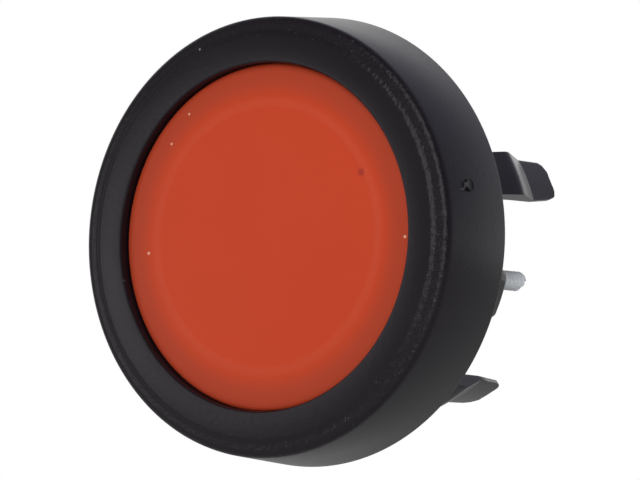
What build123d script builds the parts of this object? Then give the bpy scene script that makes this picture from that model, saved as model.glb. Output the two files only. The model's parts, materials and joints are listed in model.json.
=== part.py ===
"""Flush pushbutton switch for a round panel hole, one STEP file for each piece.

Millimetres. The press axis is Y: the button faces -Y and the panel's front face is the plane Y = 0.
Z is up. Angles about the axis are seen from the front, from +X towards +Z.
"""
import os
from math import cos, radians, sin

from build123d import *

# ---- Panel, and what passes its hole -----------------------------------------------------------
panel_hole_r = 11.15
gasket_clear = 0.2
gasket_width = 2.35
gasket_thick = 0.8
gasket_gap = 0.1
hook_clear = 0.2
boss_clear = 0.05

# ---- Bezel -------------------------------------------------------------------------------------
bezel_wall = 1.8
bezel_flare = 0.55       # the side stands this much further out at the back than at the front
bevel_width = 1.2        # the flat of the face ends here, and a shallow bevel begins
bevel_drop = 0.3
bezel_ledge = 0.9
bezel_stand_off = 0.1
lip_width = 0.95
lip_thick = 1.15

# ---- Button ------------------------------------------------------------------------------------
travel = 2.5
press_gap = 0.15
floor_thick = 1.0
carrier_thick = 0.7
cap_top_thick = 0.9
plateau_recess = 0.55
shoulder_width = 2.53
cap_fall = 0.2           # the cap's shoulder falls this much from the plateau to the edge
cap_gap = 0.12
cap_skirt_wall = 1.0
cap_flange_thick = 0.5
cap_flange_gap = 0.25

# ---- Fits --------------------------------------------------------------------------------------
seat_gap = 0.05          # beside a face that is only touched
slide_gap = 0.05         # a round slide in its bore
seal_gap = 0.02
screw_gap = 0.05
thread_gap = 0.02

# ---- Head body ---------------------------------------------------------------------------------
clock = -19.3            # turn of hooks and contacts about the axis
tube_stand_off = 0.75    # from the hooks' inner faces in to the tube
tube_wall = 0.8
guide_r = 5.0
guide_wall = 1.0
well_depth = 4.0         # how far behind the panel's face the spring well ends
plate_thick = 1.0
key_width = 1.4
key_depth = 0.5

hook_spread = 42.5       # each hook's middle stands this far round from the clock line
hook_arc = 15.6
hook_flare = 1.45        # the outer face leaves the hole and widens this much to the catch
hook_reach = 8.1
hook_drop = 0.75         # from the catch in to the tip
hook_ramp_length = 2.6
hook_tip_length = 3.4
hook_root_wall = 0.9
hook_catch_wall = 1.25
hook_tip_wall = 0.4
hook_corner = 0.8

screw_turn = 4.7         # the screws stand this far round from the clock line
screw_r = 0.7
screw_stand_out = 3.4
screw_point = 0.3
screw_head_r = 1.2
screw_head_thick = 0.6
screw_slot_width = 0.35
screw_slot_depth = 0.3
boss_r = 1.0

seal_thick = 1.0
seal_wall = 0.6

# ---- Contact block -----------------------------------------------------------------------------
base_set_in = 0.4
base_thick = 1.7
ear_wall = 0.2
ear_root = 0.7
ear_thick = 3.0
ear_arc = 20.0
ear_corner = 0.5
tower_length = 11.2
tower_width = 8.0
tower_wall = 1.0
tower_corner = 0.8
tower_floor = 1.0
pocket_gap = 0.1
pocket_depth = 2.5
pocket_wall = 0.75

plunger_r = 1.9
window_in = 0.3
window_length = 1.8
plunger_foot = 1.0
bridge_share = 0.75      # the bridge makes this share of the button's stroke

bridge_thick = 0.5
bridge_gap = 0.3         # from the bridge's ends to the tails beside them
bridge_waist = 2.0
bridge_end_width = 4.6
bridge_end_length = 1.9
tip_size = 1.1
tip_height = 0.3
tip_from_end = 0.6
tip_up = 1.5
strip_thick = 0.4
strip_end = 0.8          # the strips end this far inside the contact tips' middles
tail_gap = 0.1
tail_thick = 0.5
tail_width = 2.0
tail_length = 4.5
tail_slot_width = 0.9
tail_slot_length = 1.4
tail_slot_back = 0.7

# ---- Springs ---------------------------------------------------------------------------------
return_wire_r = 0.3
return_turns = 4
plunger_wire_r = 0.15
plunger_spring_r = 1.35
plunger_turns = 4
contact_wire_r = 0.13
contact_spring_r = 0.7
contact_turns = 2
coil_steps = 10
wire_sides = 4

# ---- Places worked out from the sizes ----------------------------------------------------------
gasket_in_r = panel_hole_r + gasket_clear
body_flange_r = gasket_in_r + gasket_width + gasket_gap
bezel_back_r = body_flange_r + seat_gap + bezel_wall
bezel_front_r = bezel_back_r - bezel_flare
face_r = bezel_front_r - bevel_width
bezel_wall_in_r = body_flange_r - bezel_ledge
opening_r = bezel_wall_in_r - lip_width

bezel_height = (gasket_thick + floor_thick + press_gap + travel + carrier_thick
                + cap_top_thick + plateau_recess)
front_y = -bezel_height
lip_back_y = front_y + lip_thick
plateau_y = front_y + plateau_recess
cap_edge_y = plateau_y + cap_fall
cap_under_y = plateau_y + cap_top_thick
carrier_back_y = cap_under_y + carrier_thick
floor_front_y = -gasket_thick - floor_thick
floor_back_y = -gasket_thick
plate_front_y = well_depth
plate_back_y = plate_front_y + plate_thick

cap_r = opening_r - cap_gap
cap_in_r = cap_r - cap_skirt_wall
cap_flange_r = bezel_wall_in_r - cap_flange_gap
cap_flange_y = lip_back_y + seat_gap
skirt_end_y = cap_flange_y + cap_flange_thick
plateau_r = cap_r - shoulder_width

hook_root_r = panel_hole_r - hook_clear
hook_catch_r = hook_root_r + hook_flare
hook_tip_r = hook_catch_r - hook_drop
hook_inner_r = hook_root_r - hook_root_wall
hook_tip_in_r = hook_tip_r - hook_tip_wall
hook_catch_in_r = hook_catch_r - hook_catch_wall
hook_ramp_y = hook_reach + hook_ramp_length
hook_end_y = hook_ramp_y + hook_tip_length

tube_r = hook_inner_r - tube_stand_off
tube_in_r = tube_r - tube_wall
guide_out_r = guide_r + guide_wall
stem_r = guide_r - slide_gap
stem_end_y = plate_front_y - travel - press_gap
seal_out_r = guide_r + seal_wall
seal_back_y = floor_front_y + seal_thick
return_spring_r = (guide_out_r + tube_in_r) / 2

base_r = tube_r - base_set_in
base_end_y = plate_back_y + base_thick
ear_end_y = plate_back_y + ear_thick
screw_angle = clock + screw_turn
screw_circle_r = panel_hole_r - boss_clear - boss_r
screw_front_y = floor_front_y + seat_gap
screw_seat_y = screw_front_y + screw_head_thick
screw_tip_y = ear_end_y + screw_stand_out
ear_in_r = base_r - ear_root
ear_lobe = screw_r + ear_wall
ear_out_r = screw_circle_r + ear_lobe

plunger_front_y = stem_end_y + seat_gap
window_front_y = plate_back_y + window_in
window_back_y = window_front_y + window_length
plunger_end_y = window_back_y + plunger_foot
bridge_back_y = window_back_y
bridge_front_y = bridge_back_y - bridge_thick
bridge_stroke = travel * bridge_share
no_tip_y = bridge_back_y + tip_height + bridge_stroke + seat_gap
no_strip_y = no_tip_y + tip_height
nc_tip_y = bridge_front_y - tip_height - seat_gap
nc_strip_y = nc_tip_y - tip_height - strip_thick
chamber_end_y = no_strip_y + strip_thick
tail_out = tower_length / 2 - tower_wall - tail_gap - tail_thick
bridge_length = 2 * (tail_out - bridge_gap)
tip_out = bridge_length / 2 - tip_from_end
strip_in = tip_out - strip_end
pocket_r = plunger_r + pocket_gap
tower_end_y = chamber_end_y + tower_floor
pocket_end_y = chamber_end_y + pocket_depth
tail_end_y = tower_end_y + tail_length


def across(y, turn=clock):
    """Plane across the axis at y, x turned about the axis. A negative extrusion runs to the rear."""
    t = radians(turn)
    return Plane(origin=(0, y, 0), x_dir=(cos(t), 0, sin(t)), z_dir=(0, -1, 0))


def radial(angle):
    """Half plane through the axis: x is the distance from the axis, y is Y. Revolving lowers the angle."""
    t = radians(angle)
    return Plane(origin=(0, 0, 0), x_dir=(cos(t), 0, sin(t)), z_dir=(-sin(t), 0, cos(t)))


def on_circle(radius, angle, y):
    """Plane across the axis at y, centred on a circle about it."""
    t = radians(angle)
    return Plane(origin=(radius * cos(t), y, radius * sin(t)), x_dir=(cos(t), 0, sin(t)), z_dir=(0, -1, 0))


def write(piece, label):
    """Name one finished piece and write its STEP file."""
    piece.part.label = label
    export_step(piece.part, f"parts/{label}.step")


def coil(radius, wire_r, turns, start_y, end_y):
    """Compression spring about the press axis, from seat to seat, in short straight steps."""
    steps = turns * coil_steps
    rise = (end_y - start_y - 2 * wire_r) / steps
    turn = 360 / coil_steps
    points = [
        (radius * cos(radians(turn * i)), start_y + wire_r + rise * i, radius * sin(radians(turn * i)))
        for i in range(steps + 1)
    ]
    with BuildPart() as spring:
        with BuildLine() as path:
            Polyline(points)
        with BuildSketch(Plane(origin=path.line @ 0, z_dir=path.line % 0)):
            RegularPolygon(wire_r, wire_sides)
        sweep(path=path.line, transition=Transition.RIGHT)
    return spring


os.makedirs("parts", exist_ok=True)

# ---- Bezel ring: one moulding, flaring towards the panel ----------------------------------------
with BuildPart() as bezel_ring:
    with BuildSketch(radial(0)):
        with BuildLine():
            Polyline(
                (opening_r, front_y),
                (face_r, front_y),
                (bezel_front_r, front_y + bevel_drop),
                (bezel_back_r, -bezel_stand_off),
                (body_flange_r + seat_gap, -bezel_stand_off),
                (body_flange_r + seat_gap, floor_front_y),
                (bezel_wall_in_r, floor_front_y),
                (bezel_wall_in_r, lip_back_y),
                (opening_r, lip_back_y),
                close=True,
            )
        make_face()
    revolve(axis=Axis.Y)
write(bezel_ring, "bezel_ring")

# ---- Panel gasket: flat rubber ring under the body's flange ----------------------------------------
with BuildPart() as panel_gasket:
    with BuildSketch(across(floor_back_y)):
        Circle(body_flange_r - gasket_gap)
        Circle(gasket_in_r, mode=Mode.SUBTRACT)
    extrude(amount=-gasket_thick)
write(panel_gasket, "panel_gasket")

# ---- Button cap: crowned disc with a skirt and a retaining flange -----------------------------------
with BuildPart() as button_cap:
    with BuildSketch(radial(0)):
        with BuildLine():
            Polyline(
                (0, plateau_y),
                (plateau_r, plateau_y),
                (cap_r, cap_edge_y),
                (cap_r, cap_flange_y),
                (cap_flange_r, cap_flange_y),
                (cap_flange_r, skirt_end_y),
                (cap_in_r, skirt_end_y),
                (cap_in_r, cap_under_y),
                (0, cap_under_y),
                close=True,
            )
        make_face()
    revolve(axis=Axis.Y)
write(button_cap, "button_cap")

# ---- Cap carrier: disc pressed into the cap, with a keyed hollow stem --------------------------------
with BuildPart() as cap_carrier:
    with BuildSketch(across(cap_under_y)):
        Circle(cap_in_r)
    extrude(amount=-carrier_thick)
    with BuildSketch(across(carrier_back_y)):
        Circle(stem_r)
        with Locations((stem_r, 0)):
            Rectangle(2 * (key_depth - slide_gap), key_width - 2 * slide_gap)
    extrude(amount=carrier_back_y - stem_end_y)
    with BuildSketch(across(cap_under_y)):
        Circle(stem_r - guide_wall)
    extrude(amount=cap_under_y - stem_end_y + guide_wall, mode=Mode.SUBTRACT)
write(cap_carrier, "cap_carrier")

# ---- Head body: flange, spring well, stem guide, screw bosses and four snap hooks ---------------------
with BuildPart() as head_body:
    with BuildSketch(radial(0)):
        with BuildLine():
            Polyline(
                (plunger_r + slide_gap, plate_front_y),
                (guide_r, plate_front_y),
                (guide_r, seal_back_y),
                (seal_out_r, seal_back_y),
                (seal_out_r, floor_front_y),
                (guide_out_r, floor_front_y),
                (guide_out_r, plate_front_y),
                (tube_in_r, plate_front_y),
                (tube_in_r, floor_front_y),
                (body_flange_r, floor_front_y),
                (body_flange_r, floor_back_y),
                (tube_r, floor_back_y),
                (tube_r, plate_back_y),
                (plunger_r + slide_gap, plate_back_y),
                close=True,
            )
        make_face()
    revolve(axis=Axis.Y)
    # keyway for the stem, open to the front
    with BuildSketch(across(floor_front_y)):
        with Locations((guide_r, 0)):
            Rectangle(2 * key_depth, key_width)
    extrude(amount=floor_front_y - plate_front_y, mode=Mode.SUBTRACT)
    for half_turn in (0, 180):
        with BuildSketch(on_circle(screw_circle_r, screw_angle + half_turn, floor_back_y)):
            Circle(boss_r)
        extrude(amount=floor_back_y - plate_back_y)
    # the bosses' inner sides are taken back to the well, then drilled
    with BuildSketch(across(floor_front_y)):
        Circle(tube_in_r)
        Circle(guide_out_r, mode=Mode.SUBTRACT)
    extrude(amount=floor_front_y - plate_front_y, mode=Mode.SUBTRACT)
    for half_turn in (0, 180):
        with BuildSketch(on_circle(screw_circle_r, screw_angle + half_turn, floor_front_y)):
            Circle(screw_r + screw_gap)
        extrude(amount=floor_front_y - plate_back_y, mode=Mode.SUBTRACT)
        with BuildSketch(on_circle(screw_circle_r, screw_angle + half_turn, floor_front_y)):
            Circle(screw_head_r + screw_gap)
        extrude(amount=floor_front_y - screw_seat_y, mode=Mode.SUBTRACT)
    # snap hooks: each widens behind the panel to a catch, then ramps in to a thin tip
    slope = hook_flare / hook_reach
    for middle in (hook_spread, -hook_spread, 180 + hook_spread, 180 - hook_spread):
        with BuildSketch(radial(clock + middle + hook_arc / 2)):
            with BuildLine():
                Polyline(
                    (hook_inner_r, floor_back_y),
                    (hook_root_r + slope * floor_back_y, floor_back_y),
                    (hook_catch_r, hook_reach),
                    (hook_tip_r, hook_ramp_y),
                    (hook_tip_r, hook_end_y),
                    (hook_tip_in_r, hook_end_y),
                    (hook_tip_in_r, hook_ramp_y),
                    (hook_catch_in_r, hook_reach),
                    close=True,
                )
            make_face()
        revolve(axis=Axis.Y, revolution_arc=hook_arc)
    # both corners of each tip are rounded
    for middle in (hook_spread, -hook_spread, 180 + hook_spread, 180 - hook_spread):
        for side in (hook_arc / 2, -hook_arc / 2):
            corner = on_circle(hook_tip_r, clock + middle + side, hook_end_y).origin
            near = head_body.edges().filter_by(GeomType.LINE).sort_by(lambda e: (e.center() - corner).length)
            fillet(near[0], hook_corner)
write(head_body, "head_body")

# ---- Stem seal -------------------------------------------------------------------------------
with BuildPart() as stem_seal:
    with BuildSketch(across(floor_front_y)):
        Circle(seal_out_r - seal_gap)
        Circle(stem_r + seal_gap, mode=Mode.SUBTRACT)
        with Locations((guide_r, 0)):
            Rectangle(2 * key_depth, key_width, mode=Mode.SUBTRACT)
    extrude(amount=-seal_thick)
write(stem_seal, "stem_seal")

# ---- Fixing screws: through the body into the contact base's ears --------------------------------------
with BuildPart() as fixing_screws:
    for half_turn in (0, 180):
        with BuildSketch(on_circle(screw_circle_r, screw_angle + half_turn, screw_front_y)):
            Circle(screw_head_r)
        extrude(amount=-screw_head_thick)
        with BuildSketch(on_circle(screw_circle_r, screw_angle + half_turn, screw_seat_y)):
            Circle(screw_r)
        extrude(amount=screw_seat_y - screw_tip_y)
        with BuildSketch(on_circle(screw_circle_r, screw_angle + half_turn, screw_front_y)):
            Rectangle(2 * screw_head_r, screw_slot_width)
        extrude(amount=-screw_slot_depth, mode=Mode.SUBTRACT)
    points = fixing_screws.edges().filter_by(GeomType.CIRCLE).group_by(Axis.Y)[-1]
    chamfer(points, screw_point)
write(fixing_screws, "fixing_screws")

# ---- Contact base: disc with two ears, contact tower and spring pocket ---------------------------------
with BuildPart() as contact_base:
    with BuildSketch(across(plate_back_y)):
        Circle(base_r)
    extrude(amount=plate_back_y - base_end_y)
    for half_turn in (0, 180):
        with BuildSketch(radial(clock + half_turn + ear_arc / 2)):
            with Locations(((ear_in_r + ear_out_r) / 2, (plate_back_y + ear_end_y) / 2)):
                Rectangle(ear_out_r - ear_in_r, ear_end_y - plate_back_y)
        revolve(axis=Axis.Y, revolution_arc=ear_arc)
    # each ear is rounded about its screw at one end
    for half_turn in (0, 180):
        for side, round_r in ((ear_arc / 2, ear_lobe), (-ear_arc / 2, ear_corner)):
            corner = on_circle(ear_out_r, clock + half_turn + side, ear_end_y).origin
            near = contact_base.edges().filter_by(Axis.Y).sort_by(lambda e: (e.center() - corner).length)
            fillet(near[0], round_r)
    with BuildSketch(across(plate_back_y)):
        RectangleRounded(tower_length, tower_width, tower_corner)
    extrude(amount=plate_back_y - tower_end_y)
    with BuildSketch(across(tower_end_y)):
        Circle(pocket_r + pocket_wall)
    extrude(amount=tower_end_y - pocket_end_y - pocket_wall)
    with BuildSketch(across(plate_back_y)):
        Rectangle(tower_length - 2 * tower_wall, tower_width - 2 * tower_wall)
    extrude(amount=plate_back_y - chamber_end_y, mode=Mode.SUBTRACT)
    with BuildSketch(across(chamber_end_y)):
        Circle(pocket_r)
    extrude(amount=chamber_end_y - pocket_end_y, mode=Mode.SUBTRACT)
    with BuildSketch(across(chamber_end_y)):
        with GridLocations(2 * tail_out + tail_thick, 2 * tip_up, 2, 2):
            Rectangle(tail_thick, tail_width)
    extrude(amount=-tower_floor, mode=Mode.SUBTRACT)
    for half_turn in (0, 180):
        with BuildSketch(on_circle(screw_circle_r, screw_angle + half_turn, plate_back_y)):
            Circle(screw_r + thread_gap)
        extrude(amount=plate_back_y - ear_end_y, mode=Mode.SUBTRACT)
write(contact_base, "contact_base")

# ---- Plunger: pin with a window for the contact bridge --------------------------------------------------
with BuildPart() as plunger:
    with BuildSketch(across(plunger_front_y)):
        Circle(plunger_r)
    extrude(amount=plunger_front_y - plunger_end_y)
    with BuildSketch(across(window_front_y)):
        Rectangle(2 * plunger_r, bridge_waist + 2 * slide_gap)
    extrude(amount=-window_length, mode=Mode.SUBTRACT)
write(plunger, "plunger")

# ---- Contact bridge and its silver tips ------------------------------------------------------------------
with BuildPart() as contact_bridge:
    with BuildSketch(across(bridge_front_y)):
        Rectangle(bridge_length, bridge_waist)
        with GridLocations(bridge_length - bridge_end_length, 0, 2, 1):
            Rectangle(bridge_end_length, bridge_end_width)
    extrude(amount=-bridge_thick)
write(contact_bridge, "contact_bridge")

with BuildPart() as bridge_tips:
    with BuildSketch(across(bridge_back_y)):
        with Locations((tip_out, tip_up), (-tip_out, tip_up)):
            Rectangle(tip_size, tip_size)
    extrude(amount=-tip_height)
    with BuildSketch(across(bridge_front_y)):
        with Locations((tip_out, -tip_up), (-tip_out, -tip_up)):
            Rectangle(tip_size, tip_size)
    extrude(amount=tip_height)
write(bridge_tips, "bridge_tips")

# ---- Terminals: contact strip and solder tail in one stamping each -----------------------------------------
for label, side, up, strip_y in (
    ("no_terminal_right", 1, 1, no_strip_y),
    ("no_terminal_left", -1, 1, no_strip_y),
    ("nc_terminal_right", 1, -1, nc_strip_y),
    ("nc_terminal_left", -1, -1, nc_strip_y),
):
    with BuildPart() as terminal:
        with BuildSketch(across(strip_y)):
            with Locations((side * (strip_in + tail_out + tail_thick) / 2, up * tip_up)):
                Rectangle(tail_out + tail_thick - strip_in, tail_width)
        extrude(amount=-strip_thick)
        with BuildSketch(across(strip_y)):
            with Locations((side * (tail_out + tail_thick / 2), up * tip_up)):
                Rectangle(tail_thick, tail_width)
        extrude(amount=strip_y - tail_end_y)
        with BuildSketch(across(tail_end_y - tail_slot_back)):
            with Locations((side * (tail_out + tail_thick / 2), up * tip_up)):
                Rectangle(2 * tail_thick, tail_slot_width)
        extrude(amount=tail_slot_length, mode=Mode.SUBTRACT)
    write(terminal, label)

for label, up, tip_y in (("no_tips", 1, no_tip_y), ("nc_tips", -1, nc_tip_y - tip_height)):
    with BuildPart() as tips:
        with BuildSketch(across(tip_y)):
            with Locations((tip_out, up * tip_up), (-tip_out, up * tip_up)):
                Rectangle(tip_size, tip_size)
        extrude(amount=-tip_height)
    write(tips, label)

# ---- Springs ---------------------------------------------------------------------------------
return_spring = coil(return_spring_r, return_wire_r, return_turns, carrier_back_y, plate_front_y)
write(return_spring, "return_spring")

plunger_spring = coil(plunger_spring_r, plunger_wire_r, plunger_turns, plunger_end_y, pocket_end_y)
write(plunger_spring, "plunger_spring")

contact_spring = coil(contact_spring_r, contact_wire_r, contact_turns, window_front_y, bridge_front_y)
write(contact_spring, "contact_spring")
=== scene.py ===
# %% [markdown]
# # A round pushbutton switch
# The switch has a wide black bezel, an orange-red cap and, behind the panel, a black body with four
# snap hooks, two screws and a small contact block. The solids already exist as a frame with the
# right sizes. Here each one that can be seen gets finer edges and a finish of its own.
# Lengths are in metres. The press axis is Y, the button faces -Y and Z is up.

# %% Load the frame and keep its size
import json
from math import cos, pi, radians, sin

import bmesh
import bpy
from mathutils import Matrix, Vector


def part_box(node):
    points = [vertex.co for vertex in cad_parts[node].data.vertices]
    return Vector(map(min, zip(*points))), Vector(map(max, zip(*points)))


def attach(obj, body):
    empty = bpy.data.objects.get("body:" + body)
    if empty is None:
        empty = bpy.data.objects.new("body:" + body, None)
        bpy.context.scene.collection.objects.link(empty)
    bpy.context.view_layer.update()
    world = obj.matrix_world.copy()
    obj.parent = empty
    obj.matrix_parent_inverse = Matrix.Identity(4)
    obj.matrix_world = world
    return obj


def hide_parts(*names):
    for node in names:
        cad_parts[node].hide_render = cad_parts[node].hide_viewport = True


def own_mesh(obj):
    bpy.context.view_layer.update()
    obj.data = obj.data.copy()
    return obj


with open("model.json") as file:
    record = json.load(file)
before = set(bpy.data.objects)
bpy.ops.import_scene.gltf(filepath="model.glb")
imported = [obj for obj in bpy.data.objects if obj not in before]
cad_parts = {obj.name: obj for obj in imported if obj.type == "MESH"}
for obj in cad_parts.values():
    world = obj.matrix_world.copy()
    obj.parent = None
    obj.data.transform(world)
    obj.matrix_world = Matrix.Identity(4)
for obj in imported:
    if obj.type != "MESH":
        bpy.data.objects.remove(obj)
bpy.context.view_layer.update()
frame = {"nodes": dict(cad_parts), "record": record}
mm = 0.001

# %% [markdown]
# Operators act on whatever is selected, so each step first leaves edit mode and selects only the
# piece that it works on. Moving or turning a mesh in edit mode leaves the piece's origin where it
# is, on the press axis.

# %% Helpers: select, move, turn and join
def start_clean():
    """Leave edit mode and deselect everything."""
    if bpy.context.object and bpy.context.object.mode != "OBJECT":
        bpy.ops.object.mode_set(mode="OBJECT")
    bpy.ops.object.select_all(action="DESELECT")


def pick(piece):
    """Select one piece alone, and make it the active one."""
    start_clean()
    piece.select_set(True)
    bpy.context.view_layer.objects.active = piece


def settled():
    """Take the new piece's place and size into its mesh, and return the piece."""
    bpy.ops.object.transform_apply(location=True, rotation=True, scale=True)
    return bpy.context.object


def shift_mesh(x, y, z):
    """Move all of the active piece's mesh by so many mm."""
    bpy.ops.object.mode_set(mode="EDIT")
    bpy.ops.mesh.select_all(action="SELECT")
    bpy.ops.transform.translate(value=(x * mm, y * mm, z * mm))
    bpy.ops.object.mode_set(mode="OBJECT")


def turn_mesh(angle):
    """Turn all of the active piece's mesh round the press axis."""
    bpy.ops.object.mode_set(mode="EDIT")
    bpy.ops.mesh.select_all(action="SELECT")
    bpy.ops.transform.rotate(value=angle, orient_axis="Y", center_override=(0, 0, 0))
    bpy.ops.object.mode_set(mode="OBJECT")


def join_into(target, parts):
    """Join the parts to the target, which keeps its name."""
    pick(target)
    for part in parts:
        part.select_set(True)
    bpy.ops.object.join()


# %% [markdown]
# Most of this switch was made by turning: the bezel, cap, body and screws are all a profile carried
# round an axis. By hand that is a circle that is extruded ring by ring, each new ring resized and
# moved along the axis. The helper below does just that, so a profile can be read as a list of
# radius and place.

# %% Helper: turn a profile round the press axis
def turned(name, profile, steps=160, closed=True):
    """Turn a list of (radius, y) points in mm round Y, by extruding and resizing a circle."""
    start_clean()
    radius, y = profile[0]
    bpy.ops.mesh.primitive_circle_add(
        vertices=steps, radius=radius * mm, location=(0, y * mm, 0), rotation=(pi / 2, 0, 0))
    piece = settled()
    piece.name = name
    bpy.ops.object.mode_set(mode="EDIT")
    bpy.ops.mesh.select_mode(type="VERT")
    bpy.ops.mesh.select_all(action="SELECT")
    path = profile[1:]
    if closed:
        path = path + profile[:1]
    for next_radius, next_y in path:
        bpy.ops.mesh.extrude_region_move()
        grow = next_radius / radius
        bpy.ops.transform.resize(value=(grow, 1, grow), center_override=(0, 0, 0))
        bpy.ops.transform.translate(value=(0, (next_y - y) * mm, 0))
        radius, y = next_radius, next_y
    bpy.ops.mesh.select_all(action="SELECT")
    bpy.ops.mesh.remove_doubles(threshold=0.000001)
    bpy.ops.mesh.normals_make_consistent(inside=False)
    bpy.ops.object.mode_set(mode="OBJECT")
    return piece


# %% [markdown]
# No moulded edge is truly sharp. A bevel that only takes the sharper edges rounds them all at once.
# Holes and slots are cut with pegs and blocks, before the edges are rounded.

# %% Helpers: round the edges, and cut with pegs and blocks
def soften(piece, width, segments=3, angle=30):
    """Round every edge sharper than the angle, apply it, and shade the piece smooth."""
    bevel = piece.modifiers.new("soft_edges", "BEVEL")
    bevel.width = width * mm
    bevel.segments = segments
    bevel.limit_method = "ANGLE"
    bevel.angle_limit = radians(angle)
    bevel.harden_normals = False
    pick(piece)
    bpy.ops.object.modifier_apply(modifier="soft_edges")
    bpy.ops.object.shade_smooth_by_angle(angle=radians(35))
    print(piece.name, "has", len(piece.data.polygons), "faces")


def cut(piece, cutter):
    """Take one shape out of another, and remove the cutter."""
    hole = piece.modifiers.new("hole", "BOOLEAN")
    hole.object = cutter
    hole.operation = "DIFFERENCE"
    hole.solver = "EXACT"
    pick(piece)
    bpy.ops.object.modifier_apply(modifier="hole")
    bpy.data.objects.remove(cutter)


def peg(radius, from_y, to_y, place=(0, 0), steps=32):
    """A round peg along Y, its ends at two places in mm, its middle at (x, z) in mm."""
    start_clean()
    bpy.ops.mesh.primitive_cylinder_add(
        vertices=steps, radius=radius * mm, depth=(to_y - from_y) * mm,
        location=(place[0] * mm, (from_y + to_y) / 2 * mm, place[1] * mm), rotation=(pi / 2, 0, 0))
    return settled()


def block(size, place):
    """A block of a size in mm, its middle at a place in mm."""
    start_clean()
    bpy.ops.mesh.primitive_cube_add(
        size=1, location=[v * mm for v in place], scale=[v * mm for v in size])
    return settled()


def on_circle(radius, angle):
    """The x and z of a point on a circle about the press axis, at an angle in degrees."""
    return radius * cos(radians(angle)), radius * sin(radians(angle))


# %% [markdown]
# The bezel is one black moulding. Its flat face ends in a small soft step, then a narrow band runs
# to a rounded edge, and the side flares towards the panel. The lists give each stretch as a radius
# and a depth behind the front, and a small bevel rounds what the mould would round.

# %% The bezel ring
bezel_low, bezel_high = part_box("bezel_ring")
front_y = bezel_low[1] / mm
bezel_back_y = bezel_high[1] / mm
bezel_back_r = bezel_high[2] / mm
opening_r = 11.95
face_r = 13.9
recess_r = 13.85
well_r = 12.9
lip_length = 1.15
flange_front_y = -1.8

lip = [(0, 0.25), (0.02, 0.09), (0.11, 0.015), (0.35, 0)]
step = [(-0.15, 0), (-0.05, 0.012), (0.05, 0.047), (0.15, 0.095), (0.25, 0.13), (0.35, 0.145)]
edge = [
    (14.56, 0.15), (14.69, 0.163), (14.82, 0.2), (14.94, 0.265), (15.04, 0.36), (15.105, 0.48),
    (15.135, 0.62), (15.15, 0.8),
]
bezel = turned(
    "bezel",
    [(opening_r + out, front_y + depth) for out, depth in lip]
    + [(face_r + out, front_y + depth) for out, depth in step]
    + [(radius, front_y + depth) for radius, depth in edge]
    + [
        (bezel_back_r - 0.01, bezel_back_y - 0.1),
        (bezel_back_r - 0.04, bezel_back_y),
        (recess_r, bezel_back_y),
        (recess_r, flange_front_y),
        (well_r, flange_front_y),
        (well_r, front_y + lip_length),
        (opening_r, front_y + lip_length),
    ], steps=256)
soften(bezel, 0.03, segments=2, angle=40)

# %% [markdown]
# The mould was filled through a small gate in the bezel's side. It leaves a round pip there with a
# shallow dimple in its end: the end face of a short cylinder is inset, and pressed in a little.

# %% The gate pip on the bezel's side
side_front_r = 15.1
side_slope = (bezel_back_r - side_front_r) / (bezel_back_y - front_y)
pip_depth, pip_angle = 2.8, radians(11.2)
pip_r, pip_length, pip_sunk = 0.42, 0.26, 0.1
pip_rim, pip_pressed = 0.05, 0.06
pip_foot = side_front_r + side_slope * pip_depth - pip_sunk

start_clean()
bpy.ops.mesh.primitive_cylinder_add(
    vertices=24, radius=pip_r * mm, depth=pip_length * mm,
    location=((pip_foot + pip_length / 2) * mm, (front_y + pip_depth) * mm, 0),
    rotation=(0, pi / 2, 0))
pip = settled()
pip.name = "gate_pip"
bpy.ops.object.mode_set(mode="EDIT")
pip_mesh = bmesh.from_edit_mesh(pip.data)
for vertex in pip_mesh.verts:
    vertex.select_set(vertex.co.x > (pip_foot + pip_length / 2) * mm)
pip_mesh.select_flush_mode()
bmesh.update_edit_mesh(pip.data)
bpy.ops.mesh.inset(thickness=pip_rim * mm)
bpy.ops.transform.translate(value=(-pip_pressed * mm, 0, 0))
bpy.ops.object.mode_set(mode="OBJECT")
turn_mesh(pip_angle)
soften(pip, 0.03, segments=2, angle=40)
join_into(bezel, [pip])
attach(bezel, "housing")
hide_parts("bezel_ring")

# %% [markdown]
# The cap is a satin orange-red moulding. Its middle is flat up to a faint crease ring, outside
# which a shoulder falls gently to a rounded edge just inside the bezel. The second list is its
# skirt, with a small flange, measured forward from the back.

# %% The button cap
cap_low, cap_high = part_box("button_cap")
plateau_y = cap_low[1] / mm
skirt_y = cap_high[1] / mm
cap_flange_r = cap_high[0] / mm
cap_r = 11.87
skirt_in_r = 10.83
axis_r = 0.001

cap_face = [
    (axis_r, 0.03), (5.0, 0.012), (9.0, 0), (9.18, 0.004), (9.3, 0.03), (9.44, 0.05), (10.6, 0.075),
    (11.35, 0.11), (11.64, 0.14), (11.79, 0.185), (11.86, 0.27), (cap_r, 0.45),
]
skirt = [
    (cap_r, 0.5), (cap_flange_r, 0.5), (cap_flange_r, 0), (skirt_in_r, 0), (skirt_in_r, 0.25),
    (axis_r, 0.25),
]
cap = turned(
    "cap",
    [(radius, plateau_y + depth) for radius, depth in cap_face]
    + [(radius, skirt_y - ahead) for radius, ahead in skirt],
    steps=200, closed=False)
soften(cap, 0.04, segments=2, angle=40)
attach(cap, "button")
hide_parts("button_cap")

# %% [markdown]
# The head body is one black moulding: a flange under the bezel, a well for the return spring, a
# guide for the stem, two screw bosses and four springy hooks. It is turned first. A keyway in the
# guide keeps the stem from turning, and two stepped holes take the screws.

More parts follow.
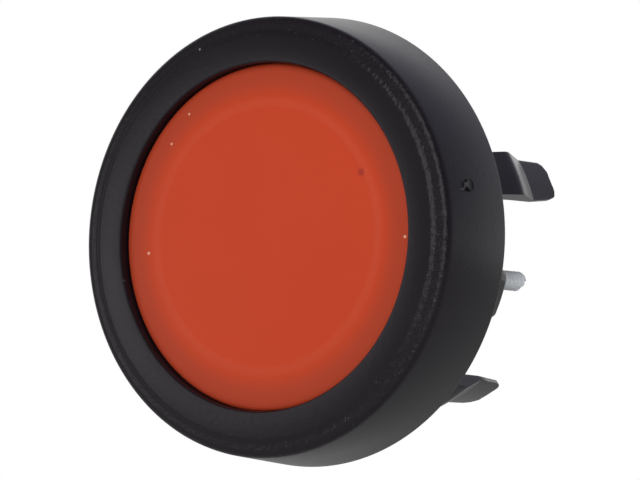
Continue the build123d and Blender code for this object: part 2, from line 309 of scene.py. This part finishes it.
# %% The head body's shell, with its keyway and screw holes
clock = -19.3
screw_angle = clock + 4.7
screw_circle = 10.1
screw_hole_r = 0.75
screw_recess_r = 1.25
screw_seat_y = -1.15
flange_back_y = -0.8
floor_front_y, floor_back_y = 4.0, 5.0
stem_hole_r, guide_in_r, seal_r, guide_out_r = 1.95, 5.0, 5.6, 6.0
spring_well_r, body_r, flange_r = 8.5, 9.3, 13.8

shell = turned("head_moulding", [
    (stem_hole_r, floor_front_y), (guide_in_r, floor_front_y), (guide_in_r, flange_back_y),
    (seal_r, flange_back_y), (seal_r, flange_front_y), (guide_out_r, flange_front_y),
    (guide_out_r, floor_front_y), (spring_well_r, floor_front_y), (spring_well_r, flange_front_y),
    (flange_r, flange_front_y), (flange_r, flange_back_y), (body_r, flange_back_y),
    (body_r, floor_back_y), (stem_hole_r, floor_back_y),
], steps=128)
keyway = block(size=(1.0, 5.9, 1.4), place=(guide_in_r, 1.05, 0))
turn_mesh(radians(clock))
cut(shell, keyway)
for half_turn in (0, 180):
    place = on_circle(screw_circle, screw_angle + half_turn)
    cut(shell, peg(screw_hole_r, -2.0, 6.0, place))
    cut(shell, peg(screw_recess_r, -2.0, screw_seat_y, place))
    print("screw hole at", tuple(round(v, 2) for v in place))
soften(shell, 0.08, segments=2, angle=40)

# %% [markdown]
# Each screw passes through a boss, a short tube that stands on the flange.

# %% Screw bosses
bosses = []
for half_turn in (0, 180):
    place = on_circle(screw_circle, screw_angle + half_turn)
    boss = peg(1.0, flange_back_y - 0.05, floor_back_y, place)
    cut(boss, peg(screw_hole_r, -2.0, 6.0, place))
    boss.name = "boss"
    soften(boss, 0.06, segments=2, angle=40)
    bosses.append(boss)

# %% [markdown]
# Each hook is a slice of a turned ring. It widens behind the panel to a rounded catch, then a short
# ramp leads in to a thin tip. Two cuts take the slice out of the ring, a third narrows the tip a
# little on the side of its screw, and a few more, each tangent to the same small circle, round the
# corners of the tip.

# %% Four snap hooks
hook_arc = 15.6
hook_spread = 42.5
hook_end_y = 14.1
tip_r = 11.65
corner_r = 0.8
draft_start_y = 10.8
draft_slope = 0.1
draft_length = 3.1

hook_outside = [
    (10.05, -0.85), (10.81, -0.85), (12.27, 7.4), (12.35, 7.85), (12.385, 8.15), (12.36, 8.45),
    (12.28, 8.75), (11.76, 10.42), (11.68, 10.66), (tip_r, 10.9), (tip_r, hook_end_y),
]
hook_inside = [(11.3, hook_end_y), (11.25, 10.7), (11.15, 8.1), (10.05, -0.8)]


def cut_away(place, normal):
    """Slice the mesh being edited with a plane, close it, and drop what the normal points to."""
    bpy.ops.mesh.select_all(action="SELECT")
    bpy.ops.mesh.bisect(plane_co=place, plane_no=normal, use_fill=True, clear_outer=True)


def snap_hook(middle, near):
    """A hook about an angle. near is +1 or -1, the side that its screw is on."""
    hook = turned("snap_hook", hook_outside + hook_inside, steps=180)
    bpy.ops.object.mode_set(mode="EDIT")
    rear = Vector((0, 1, 0))
    for side in (1, -1):
        turn = radians(middle + side * hook_arc / 2)
        radial = Vector((cos(turn), 0, sin(turn)))
        outward = Vector((-sin(turn), 0, cos(turn))) * side
        cut_away((0, 0, 0), outward)
        draft = draft_slope if side == near else 0.0
        start = radial * tip_r + rear * draft_start_y
        cut_away(start * mm, (outward + rear * draft).normalized())
        centre = radial * tip_r + rear * (hook_end_y - corner_r)
        centre = centre - outward * (corner_r + draft * draft_length)
        for slant in (15, 30, 45, 60, 75):
            lean = outward * cos(radians(slant)) + rear * sin(radians(slant))
            cut_away((centre + lean * corner_r) * mm, lean)
    bpy.ops.object.mode_set(mode="OBJECT")
    soften(hook, 0.1, segments=2, angle=35)
    return hook


hooks = [
    snap_hook(clock + hook_spread, -1), snap_hook(clock - hook_spread, 1),
    snap_hook(clock + 180 + hook_spread, -1), snap_hook(clock + 180 - hook_spread, 1),
]

# %% [markdown]
# Shell, bosses and hooks become one moulding. Weighted normals let its large faces set the shading,
# so the flat ramps look flat right up to their rounded edges.

# %% Join the moulding
join_into(shell, bosses + hooks)
bpy.ops.object.shade_smooth_by_angle(angle=radians(35))
bpy.ops.object.modifier_add(type="WEIGHTED_NORMAL")
shell.modifiers[-1].keep_sharp = True
bpy.ops.object.modifier_apply(modifier=shell.modifiers[-1].name)
head_moulding = shell
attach(head_moulding, "housing")
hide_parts("head_body")
print("head moulding:", len(head_moulding.data.polygons), "faces")

# %% [markdown]
# A screw's thread and a spring's wire are made the same way: a small outline is carried round the
# press axis and along it by a Screw modifier, and the two open ends are closed.

# %% Helper: wind an outline into a helix
def wind_round(piece, angle, rise, turns, steps):
    """Carry the active piece round Y by an angle a turn, with a rise in mm, and close its ends."""
    wind = piece.modifiers.new("wind", "SCREW")
    wind.axis = "Y"
    wind.angle = angle
    wind.screw_offset = rise * mm
    wind.iterations = turns
    wind.steps = steps
    wind.render_steps = steps
    bpy.ops.object.modifier_apply(modifier="wind")
    bpy.ops.object.mode_set(mode="EDIT")
    bpy.ops.mesh.select_mode(type="EDGE")
    bpy.ops.mesh.select_all(action="DESELECT")
    bpy.ops.mesh.select_non_manifold()
    bpy.ops.mesh.edge_face_add()
    bpy.ops.mesh.select_all(action="SELECT")
    bpy.ops.mesh.normals_make_consistent(inside=False)
    bpy.ops.object.mode_set(mode="OBJECT")


# %% [markdown]
# The two fixing screws are self-cutting: a coarse thread on a thinner core, which shows at the tip
# that sticks out behind the ear. Each is turned and wound on the press axis, then moved to its
# place. The thread is a small three-sided ridge.

# %% Fixing screws with a real thread
head_r, shank_r, core_r = 1.2, 0.7, 0.5
shank_end_y = 4.7
screw_tip_y = 11.4
ridge_r, ridge_middle_r = 0.17, 0.53
thread_pitch = 0.5
thread_start_y = 5.0
thread_turns = 12


def fixing_screw(name, angle):
    """A slotted screw with a wound thread, on the screw circle at an angle."""
    screw = turned(name, [
        (axis_r, -1.72), (0.95, -1.72), (1.12, -1.66), (head_r, -1.5), (head_r, screw_seat_y),
        (shank_r, screw_seat_y), (shank_r, shank_end_y), (core_r, shank_end_y + 0.2),
        (core_r, screw_tip_y - 0.45), (0.42, screw_tip_y - 0.12), (0.25, screw_tip_y - 0.02),
        (axis_r, screw_tip_y),
    ], steps=40, closed=False)
    cut(screw, block(size=(2.6, 0.6, 0.35), place=(0, -1.6, 0)))
    start_clean()
    bpy.ops.mesh.primitive_circle_add(vertices=3, radius=ridge_r * mm, rotation=(0, 0, -pi / 2))
    ridge = settled()
    shift_mesh(ridge_middle_r, thread_start_y, 0)
    print("ridge reaches", round(max(v.co.x for v in ridge.data.vertices) / mm, 3), "mm")
    wind_round(ridge, 2 * pi, thread_pitch, thread_turns, steps=24)
    join_into(screw, [ridge])
    x, z = on_circle(screw_circle, angle)
    shift_mesh(x, 0, z)
    bpy.ops.object.shade_smooth_by_angle(angle=radians(30))
    return screw


fixing_pair = fixing_screw("screw_right", screw_angle)
join_into(fixing_pair, [fixing_screw("screw_left", screw_angle + 180)])
fixing_pair.name = "fixing_screw_pair"
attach(fixing_pair, "housing")
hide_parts("fixing_screws")
print("screws:", len(fixing_pair.data.polygons), "faces")

# %% [markdown]
# The contact block, gasket and terminals already have the right shape, but their edges are as sharp
# as drawn. A copy of each is merged, its flat faces are joined up, and every edge gets the small
# radius that a mould or a stamping tool leaves.

# %% Pieces that only need real edges
bodies = frame["record"]["behaviour"]["bodies"]
subparts = frame["record"]["subparts"]


def refined(node, name, width):
    """A copy of a CAD node with its doubles merged, flat faces joined and edges rounded."""
    copy = bpy.data.objects.new(name, frame["nodes"][node].data.copy())
    bpy.context.scene.collection.objects.link(copy)
    pick(copy)
    bpy.ops.object.mode_set(mode="EDIT")
    bpy.ops.mesh.select_mode(type="VERT")
    bpy.ops.mesh.select_all(action="SELECT")
    bpy.ops.mesh.remove_doubles(threshold=0.000001)
    bpy.ops.mesh.dissolve_limited(angle_limit=radians(0.6))
    bpy.ops.object.mode_set(mode="OBJECT")
    soften(copy, width, segments=2, angle=40)
    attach(copy, next(body for body, nodes in bodies.items() if node in nodes))
    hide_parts(node)
    return copy


contact_block = refined("contact_base", "contact_block", 0.12)
gasket = refined("panel_gasket", "seat_gasket", 0.1)
tails = [
    refined(kind + "_terminal_" + side, kind + "_tail_" + side, 0.05)
    for kind in ("no", "nc") for side in ("right", "left")
]

# %% [markdown]
# The three springs are wound from round wire, turning the same way as the model's coils. A spring
# gets shorter as its joint moves; here the length that each keeps when pressed is only worked out
# and printed.

# %% Coil springs
def coil_spring(name, node, coil_r, wire_r, turns, seats, body, travel, sides=12):
    """A compression spring between two seats on the press axis; its travel only sets the length
    that is printed.
    """
    start_y, end_y = seats
    start_clean()
    bpy.ops.mesh.primitive_circle_add(vertices=sides, radius=wire_r * mm)
    wire = bpy.context.object
    wire.name = name
    shift_mesh(coil_r, start_y + wire_r, 0)
    wind_round(wire, -2 * pi, (end_y - start_y - 2 * wire_r) / turns, turns, steps=28)
    bpy.ops.object.shade_smooth_by_angle(angle=radians(40))
    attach(wire, body)
    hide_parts(node)
    length = end_y - start_y
    left = length - travel
    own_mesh(wire)
    print(name, "runs", start_y, "to", end_y, "mm and keeps", round(left, 3), "mm when pressed")
    return wire


springs = [
    coil_spring("return_coil", "return_spring", 7.25, 0.3, 4, (-4.45, 4.0),
                "housing", 2.5),
    coil_spring("plunger_coil", "plunger_spring", 1.35, 0.15, 4, (8.1, 12.525),
                "housing", 2.5, sides=8),
    coil_spring("contact_coil", "contact_spring", 0.7, 0.13, 2, (5.3, 6.6),
                "plunger_slide", 0.625, sides=8),
]

# %% [markdown]
# ## Finishes
# Moulded plastic is never one flat colour: the mould leaves a fine grain, the surface is a little
# uneven in gloss, and a few dust specks and a gate mark sit on it. Some highlights and shade are
# painted into the colour as well. All of this is built from nodes.
# The helpers below each add one kind of node to a tree. Where they take a value, it can be a plain
# number or colour, or what another node puts out.

# %% Helpers for nodes
def feed(tree, socket, value):
    """Put a plain value, or what another node puts out, into a socket."""
    if isinstance(value, bpy.types.NodeSocket):
        tree.links.new(value, socket)
    else:
        socket.default_value = value


def worked_out(tree, operation, one, other, clamp=False):
    """Two numbers, added, multiplied or compared."""
    node = tree.nodes.new("ShaderNodeMath")
    node.operation = operation
    node.use_clamp = clamp
    feed(tree, node.inputs[0], one)
    feed(tree, node.inputs[1], other)
    return node.outputs[0]


def ranged(tree, value, low, high, to_low=0.0, to_high=1.0, smooth=False):
    """A number that runs between two others while the value goes from low to high."""
    node = tree.nodes.new("ShaderNodeMapRange")
    if smooth:
        node.interpolation_type = "SMOOTHSTEP"
    feed(tree, node.inputs["Value"], value)
    feed(tree, node.inputs["From Min"], low)
    feed(tree, node.inputs["From Max"], high)
    feed(tree, node.inputs["To Min"], to_low)
    feed(tree, node.inputs["To Max"], to_high)
    return node.outputs["Result"]


def blended(tree, factor, one, other):
    """A colour between two others."""
    node = tree.nodes.new("ShaderNodeMix")
    node.data_type = "RGBA"
    feed(tree, node.inputs["Factor"], factor)
    feed(tree, node.inputs["A"], one)
    feed(tree, node.inputs["B"], other)
    return node.outputs["Result"]


def new_group(name, inputs, outputs):
    """A shader node group with named inputs, each with a starting value, and number outputs."""
    group = bpy.data.node_groups.new(name, "ShaderNodeTree")
    for label, value in inputs.items():
        kind = "NodeSocketVector" if value is None else "NodeSocketFloat"
        socket = group.interface.new_socket(name=label, in_out="INPUT", socket_type=kind)
        if value is not None:
            socket.default_value = value
    for label in outputs:
        group.interface.new_socket(name=label, in_out="OUTPUT", socket_type="NodeSocketFloat")
    group_in = group.nodes.new("NodeGroupInput")
    group_out = group.nodes.new("NodeGroupOutput")
    print("group:", name)
    return group, group_in.outputs, group_out.inputs


# %% [markdown]
# The first group is the fine grain of a spark-eroded mould. It puts out a height for the grain, a
# cloudy mask for the colour, and a small shift up or down for the gloss.

# %% Node group: mould grain
grain, given, result = new_group(
    "mould_grain", {"Place": None, "Scale": 3000.0, "Uneven": 0.1},
    ["Height", "Gloss shift", "Cloud"])
fine = grain.nodes.new("ShaderNodeTexNoise")
fine.inputs["Detail"].default_value = 3.0
feed(grain, fine.inputs["Vector"], given["Place"])
feed(grain, fine.inputs["Scale"], given["Scale"])
cloud = grain.nodes.new("ShaderNodeTexNoise")
cloud.inputs["Scale"].default_value = 140.0
cloud.inputs["Detail"].default_value = 4.0
feed(grain, cloud.inputs["Vector"], given["Place"])
centred = worked_out(grain, "SUBTRACT", cloud.outputs["Fac"], 0.5)
feed(grain, result["Height"], fine.outputs["Fac"])
feed(grain, result["Gloss shift"], worked_out(grain, "MULTIPLY", centred, given["Uneven"]))
feed(grain, result["Cloud"], cloud.outputs["Fac"])

# %% [markdown]
# Dust specks, a darker spot, and the painted highlight and shade by the gate need one soft round
# spot: a mask that is 1 near a point and fades to 0.

# %% Node group: one soft round spot
spot, given, result = new_group(
    "round_spot", {"Place": None, "Centre": None, "Radius": 0.0003, "Edge": 0.0001}, ["Mask"])
apart = spot.nodes.new("ShaderNodeVectorMath")
apart.operation = "DISTANCE"
feed(spot, apart.inputs[0], given["Place"])
feed(spot, apart.inputs[1], given["Centre"])
outer = worked_out(spot, "ADD", given["Radius"], given["Edge"])
feed(spot, result["Mask"], ranged(
    spot, apart.outputs["Value"], given["Radius"], outer, 1.0, 0.0, smooth=True))

# %% [markdown]
# The painted highlight on the crease ring, the painted shade on the cap's shoulder and the bezel's
# worn edge need a mask that climbs with the distance from the press axis.

# %% Node group: a ring about the press axis, between two radii
ring, given, result = new_group(
    "round_band", {"Place": None, "Inner": 0.009, "Outer": 0.01}, ["Rise"])
flat = ring.nodes.new("ShaderNodeVectorMath")
flat.operation = "MULTIPLY"
flat.inputs[1].default_value = (1, 0, 1)
reach = ring.nodes.new("ShaderNodeVectorMath")
reach.operation = "LENGTH"
feed(ring, flat.inputs[0], given["Place"])
feed(ring, reach.inputs[0], flat.outputs["Vector"])
feed(ring, result["Rise"], ranged(
    ring, reach.outputs["Value"], given["Inner"], given["Outer"], smooth=True))

# %% [markdown]
# A scuffed edge glints in many tiny points, and these glints are painted as pale speckles. Random
# cells give them: a point is the middle of a cell, and only a share of the cells have one.

# %% Node group: fine pale speckles, scattered at random
scuff_and_glint_speckles, given, result = new_group(
    "speckles", {"Place": None, "Scale": 3000.0, "Size": 0.2, "Share": 0.3}, ["Mask"])
cells = scuff_and_glint_speckles.nodes.new("ShaderNodeTexVoronoi")
feed(scuff_and_glint_speckles, cells.inputs["Vector"], given["Place"])
feed(scuff_and_glint_speckles, cells.inputs["Scale"], given["Scale"])
chance = scuff_and_glint_speckles.nodes.new("ShaderNodeSeparateColor")
feed(scuff_and_glint_speckles, chance.inputs["Color"], cells.outputs["Color"])
near = worked_out(scuff_and_glint_speckles, "LESS_THAN", cells.outputs["Distance"], given["Size"])
few = worked_out(scuff_and_glint_speckles, "LESS_THAN", chance.outputs["Red"], given["Share"])
feed(scuff_and_glint_speckles, result["Mask"], worked_out(scuff_and_glint_speckles, "MULTIPLY", near, few))

# %% [markdown]
# Every finish is made by one function: two close colours clouded together, uneven gloss and a fine
# grain. A metal is the same with a coarser, shallower grain and a metallic shader.

# %% Plastics and metals
grain_depth = 0.00002


def plastic(name, colour, tint, roughness, level, bump=0.1, scale=3000.0, uneven=0.1):
    """A moulded plastic with its grain, in a colour clouded with a tint."""
    made = bpy.data.materials.new(name)
    made.use_nodes = True
    tree = made.node_tree
    shader = tree.nodes["Principled BSDF"]
    shader.inputs["Specular IOR Level"].default_value = level
    place = tree.nodes.new("ShaderNodeTexCoord")
    place.name = "place"
    effect = tree.nodes.new("ShaderNodeGroup")
    effect.node_tree = grain
    feed(tree, effect.inputs["Place"], place.outputs["Object"])
    feed(tree, effect.inputs["Scale"], scale)
    feed(tree, effect.inputs["Uneven"], uneven)
    feed(tree, shader.inputs["Base Color"],
         blended(tree, effect.outputs["Cloud"], (*colour, 1), (*tint, 1)))
    feed(tree, shader.inputs["Roughness"],
         worked_out(tree, "ADD", effect.outputs["Gloss shift"], roughness))
    height = tree.nodes.new("ShaderNodeBump")
    height.name = "height"
    height.inputs["Strength"].default_value = bump
    height.inputs["Distance"].default_value = grain_depth
    feed(tree, height.inputs["Height"], effect.outputs["Height"])
    feed(tree, shader.inputs["Normal"], height.outputs["Normal"])
    print("material:", name)
    return made


def metal(name, colour, tint, roughness, metallic=1.0):
    """A worked metal: clouded colour and uneven polish."""
    made = plastic(name, colour, tint, roughness, 0.5, bump=0.05, scale=1500.0, uneven=0.15)
    made.node_tree.nodes["Principled BSDF"].inputs["Metallic"].default_value = metallic
    return made


jet, jet_tint = (0.0088, 0.0062, 0.0094), (0.0112, 0.0082, 0.0120)
black_plastic = plastic("black_plastic", jet, jet_tint, 0.3, 0.2, bump=0.25)
head_plastic = plastic("head_plastic", jet, jet_tint, 0.2, 0.25, bump=0.12)
orange_plastic = plastic(
    "orange_plastic", (0.50, 0.047, 0.0125), (0.536, 0.053, 0.016), 0.42, 0.12,
    bump=0.04, uneven=0.05)
white_plastic = plastic("white_plastic", (0.66, 0.65, 0.6), (0.72, 0.71, 0.67), 0.5, 0.4)
black_rubber = plastic("black_rubber", (0.012, 0.012, 0.012), (0.02, 0.02, 0.02), 0.75, 0.3)
plated_steel = metal("plated_steel", (0.86, 0.89, 0.92), (0.92, 0.95, 0.98), 0.5, metallic=0.4)
spring_steel = metal("spring_steel", (0.5, 0.5, 0.51), (0.6, 0.6, 0.6), 0.35)
brass = metal("brass", (0.74, 0.56, 0.28), (0.8, 0.62, 0.34), 0.35)
silver = metal("silver", (0.8, 0.8, 0.8), (0.86, 0.86, 0.86), 0.3)

# %% [markdown]
# Pieces that keep their drawn shape are finished too, each with what its slot is named after. The
# new pieces follow. Only the bezel waits, since its finish is a copy of the black plastic with
# marks of its own.

# %% Give every piece its finish
def finish_with(piece, material):
    """Make a material the only one on a piece."""
    piece.data.materials.clear()
    piece.data.materials.append(material)


slot_finish = {
    "black_plastic": black_plastic, "orange_plastic": orange_plastic,
    "white_plastic": white_plastic, "black_rubber": black_rubber, "plated_steel": plated_steel,
    "spring_steel": spring_steel, "brass": brass, "silver": silver,
}
for entry in subparts:
    finish_with(frame["nodes"][entry["node"]], slot_finish[entry["material_slot"]])
for pieces, material in (
        ([head_moulding, contact_block], head_plastic), ([cap], orange_plastic),
        (springs, spring_steel), ([fixing_pair], plated_steel), ([gasket], black_rubber),
        (tails, brass)):
    for piece in pieces:
        finish_with(piece, material)
print("finished:", len(subparts), "nodes of the frame")

# %% [markdown]
# Marks are laid over a finish one at a time. Each has a mask that says where it is, and a colour.
# Masks can be multiplied, or taken from one another.

# %% Helpers: masks, and colours laid over a finish
def masked(material, group, **values):
    """The mask that a group puts out on a material, given some of the group's inputs."""
    tree = material.node_tree
    node = tree.nodes.new("ShaderNodeGroup")
    node.node_tree = group
    feed(tree, node.inputs["Place"], tree.nodes["place"].outputs["Object"])
    for label, value in values.items():
        feed(tree, node.inputs[label], value)
    return node.outputs[0]


def spot_mask(material, centre, radius, edge):
    """The mask of one round spot, its centre and size in mm."""
    return masked(
        material, spot, Centre=[v * mm for v in centre], Radius=radius * mm, Edge=edge * mm)


def band_mask(material, inner, outer):
    """A mask that climbs from 0 to 1 between two radii in mm."""
    return masked(material, ring, Inner=inner * mm, Outer=outer * mm)


def joined_masks(material, one, other, operation="MULTIPLY"):
    """Two masks made into one."""
    return worked_out(material.node_tree, operation, one, other, clamp=True)


def tinted_where(material, mask, colour):
    """Lay another colour over the base colour where the mask is 1."""
    tree = material.node_tree
    base = tree.nodes["Principled BSDF"].inputs["Base Color"]
    under = base.links[0].from_socket
    tree.links.new(blended(tree, mask, under, (*colour, 1)), base)


# %% [markdown]
# The cap's shoulder is painted darker towards its edge: painted shade from the bezel's lip and the
# falling slope. The crease between the flat middle and the shoulder is painted a shade paler, as a
# painted highlight along it. A small round darker spot and a few pale dust specks finish it.

# %% Marks on the cap
crease_r = 9.25
crease_highlight_strength = 0.35
# Painted shade: the shoulder darkens towards the cap's edge, where the bezel's lip shades it.
tinted_where(orange_plastic, band_mask(orange_plastic, 9.3, 10.9), (0.40, 0.047, 0.018))
climbing = band_mask(orange_plastic, 8.7, crease_r)
falling = band_mask(orange_plastic, 9.8, crease_r)
crease = joined_masks(orange_plastic, climbing, falling)
crease = joined_masks(orange_plastic, crease, crease_highlight_strength)
# Painted highlight: a paler ring along the crease.
tinted_where(orange_plastic, crease, (0.54, 0.082, 0.042))
# A small darker spot on the cap's flat middle.
dark_spot = spot_mask(orange_plastic, (7.91, plateau_y, 4.03), 0.14, 0.22)
tinted_where(orange_plastic, dark_spot, (0.36, 0.035, 0.02))
cap_dust = [(-9.95, -0.75, 0.07), (-8.0, 6.8, 0.05), (-6.5, 8.8, 0.04), (11.35, -0.45, 0.06)]
for x, z, size in cap_dust:
    speck = spot_mask(orange_plastic, (x, plateau_y + 0.1, z), size, 0.08)
    tinted_where(orange_plastic, speck, (0.72, 0.36, 0.26))
print("cap:", len(cap_dust), "dust specks")

# %% [markdown]
# The bezel's edge is coarser than its face and a little scuffed. One mask says where: beyond the
# face, close behind the front, and more towards the right, where the light falls on it. It deepens
# the grain there and lets pale speckles through, which are partly scuffs and partly painted glints.

# %% The bezel's worn edge, with painted glints
worn_depth = 0.00007
smooth_grain, coarse_grain = 0.13, 1.0
bezel_finish = black_plastic.copy()
bezel_finish.name = "bezel_plastic"
tree = bezel_finish.node_tree
split = tree.nodes.new("ShaderNodeSeparateXYZ")
feed(tree, split.inputs[0], tree.nodes["place"].outputs["Object"])
shallow = ranged(tree, split.outputs["Y"], (front_y + 0.6) * mm, (front_y + 0.3) * mm)
lit_right_side = ranged(tree, split.outputs["X"], -6 * mm, 8 * mm, to_low=0.15)
wear_and_glint = joined_masks(bezel_finish, band_mask(bezel_finish, 13.6, 13.9), shallow)
wear_and_glint = joined_masks(bezel_finish, wear_and_glint, lit_right_side)
height = tree.nodes["height"]
feed(tree, height.inputs["Strength"], ranged(tree, wear_and_glint, 0.0, 1.0, smooth_grain, coarse_grain))
height.inputs["Distance"].default_value = worn_depth
# Pale speckles on the edge: partly scuffs, partly painted glints, stronger on the lit right side.
specks = masked(bezel_finish, scuff_and_glint_speckles, Scale=3500.0, Share=0.15)
tinted_where(bezel_finish, joined_masks(bezel_finish, wear_and_glint, specks), (0.05, 0.045, 0.05))

# %% [markdown]
# Last come the marks by the gate: a pale crescent painted as a highlight along the pip's lit rim,
# which is one spot with another taken out of it, and painted shade in the dimple. Two specks of
# dust sit on the face.

# %% Marks on the bezel
def on_side(depth, angle):
    """A point on the bezel's side, at a depth behind the front and an angle round the axis."""
    out = side_front_r + side_slope * depth
    return out * cos(angle), front_y + depth, out * sin(angle)


mark = spot_mask(bezel_finish, on_side(pip_depth - 0.72, pip_angle), 0.36, 0.05)
hollow = spot_mask(bezel_finish, on_side(pip_depth - 0.84, pip_angle + 0.006), 0.34, 0.05)
pip_glint = joined_masks(bezel_finish, mark, hollow, "SUBTRACT")
# Painted highlight: the pip's rim catching the light, as a pale crescent.
tinted_where(bezel_finish, pip_glint, (0.07, 0.064, 0.07))
dimple = spot_mask(bezel_finish, on_side(pip_depth, pip_angle), 0.28, 0.18)
# Painted shade: the dark inside the pip's dimple.
tinted_where(bezel_finish, dimple, (0.003, 0.003, 0.003))
for x, z, size in ((-5.24, 13.2, 0.08), (-11.6, -2.6, 0.07)):
    speck = spot_mask(bezel_finish, (x, front_y + 0.05, z), size, 0.06)
    tinted_where(bezel_finish, speck, (0.25, 0.24, 0.24))
finish_with(bezel, bezel_finish)
print("bezel finish:", len(tree.nodes), "nodes")

# %% [markdown]
# ## Studio
# The switch is held in the air over a pale floor.

# %% Floor
floor_z = -0.05
floor_grey = 0.8
start_clean()
bpy.ops.mesh.primitive_plane_add(size=1.2, location=(0, 0, floor_z))
floor = bpy.context.object
floor.name = "floor"
pale = bpy.data.materials.new("pale_floor")
pale.use_nodes = True
pale_shader = pale.node_tree.nodes["Principled BSDF"]
pale_shader.inputs["Base Color"].default_value = (floor_grey, floor_grey, floor_grey, 1)
pale_shader.inputs["Roughness"].default_value = 0.8
finish_with(floor, pale)
print("floor at", floor_z, "m")

# %% [markdown]
# The camera sees a plain white backdrop. Reflections see a room whose walls are brighter behind the
# switch and dimmer behind the camera, and a bluish dusk up to the right. All other light is a soft
# even grey-white.

# %% World
soft_strength = 0.5
dim_wall, bright_wall = 0.3, 1.0
dusk = (0.39, 0.40, 0.49, 1)

world = bpy.data.worlds.new("studio")
bpy.context.scene.world = world
world.use_nodes = True
tree = world.node_tree
tree.nodes.clear()
soft = tree.nodes.new("ShaderNodeBackground")
soft.inputs["Color"].default_value = (1, 1, 1, 1)
soft.inputs["Strength"].default_value = soft_strength
path = tree.nodes.new("ShaderNodeLightPath")
way = tree.nodes.new("ShaderNodeTexCoord")
parts = tree.nodes.new("ShaderNodeSeparateXYZ")
feed(tree, parts.inputs[0], way.outputs["Generated"])
walls = ranged(tree, parts.outputs["Y"], -0.3, 0.5, dim_wall, bright_wall)
lean = tree.nodes.new("ShaderNodeVectorMath")
lean.operation = "DOT_PRODUCT"
lean.inputs[1].default_value = (0.5, 0, 1)
feed(tree, lean.inputs[0], way.outputs["Generated"])
sky = ranged(tree, lean.outputs["Value"], 0.15, 0.6)
tone = worked_out(tree, "MULTIPLY", sky, path.outputs["Is Glossy Ray"])
seen = worked_out(
    tree, "MAXIMUM", path.outputs["Is Camera Ray"], path.outputs["Is Transmission Ray"])
white = tree.nodes.new("ShaderNodeBackground")
feed(tree, white.inputs["Color"], blended(tree, tone, (1, 1, 1, 1), dusk))
feed(tree, white.inputs["Strength"], worked_out(tree, "MAXIMUM", walls, seen))
chosen = tree.nodes.new("ShaderNodeMixShader")
feed(tree, chosen.inputs["Fac"], worked_out(tree, "MAXIMUM", seen, path.outputs["Is Glossy Ray"]))
tree.links.new(soft.outputs[0], chosen.inputs[1])
tree.links.new(white.outputs[0], chosen.inputs[2])
out = tree.nodes.new("ShaderNodeOutputWorld")
tree.links.new(chosen.outputs[0], out.inputs["Surface"])
print("world:", len(tree.nodes), "nodes")

# %% [markdown]
# One small softbox stands close to the left, so the flat face fades from left to right. A tall one
# in front, a little to the right, lights the cap and draws the two thin lines along the bezel's
# edge.

# %% Lamps
def softbox(name, place, power, width, height):
    """A rectangular area lamp that faces the origin."""
    lamp = bpy.data.lights.new(name, "AREA")
    lamp.shape = "RECTANGLE"
    lamp.energy = power
    lamp.size = width
    lamp.size_y = height
    holder = bpy.data.objects.new(name, lamp)
    bpy.context.scene.collection.objects.link(holder)
    holder.location = place
    holder.rotation_euler = (-Vector(place)).to_track_quat("-Z", "Y").to_euler()
    print(name, "gives", power, "W")


softbox("near_left", place=(-0.095, -0.11, 0.003), power=0.014, width=0.035, height=0.035)
softbox("front_right", place=(0.094, -0.362, 0.079), power=0.95, width=0.22, height=0.47)
bpy.context.scene.view_settings.view_transform = "Standard"

# %% [markdown]
# The camera stands to the right of the press axis and a little below it, and looks up at a point
# near the middle of the front. The long lens keeps the circles close to true ellipses.

# %% Camera
camera_turn, camera_rise = radians(34.37), radians(-4.073)
camera_away = 0.273
aim_right, aim_up = 4.075, -0.257
away = Vector((
    sin(camera_turn) * cos(camera_rise), -cos(camera_turn) * cos(camera_rise), sin(camera_rise)))
right = Vector((cos(camera_turn), sin(camera_turn), 0))
up = right.cross(-away)
aim = Vector((0, front_y * mm, 0)) + right * aim_right * mm + up * aim_up * mm
eye = bpy.data.cameras.new("eye")
eye.lens = 225.1
eye.sensor_width = 36
eye.clip_start = 0.01
camera = bpy.data.objects.new("eye", eye)
bpy.context.scene.collection.objects.link(camera)
camera.location = aim + away * camera_away
camera.rotation_euler = Matrix((right, up, away)).transposed().to_euler()
bpy.context.scene.camera = camera
print("camera at", tuple(round(v, 4) for v in camera.location))
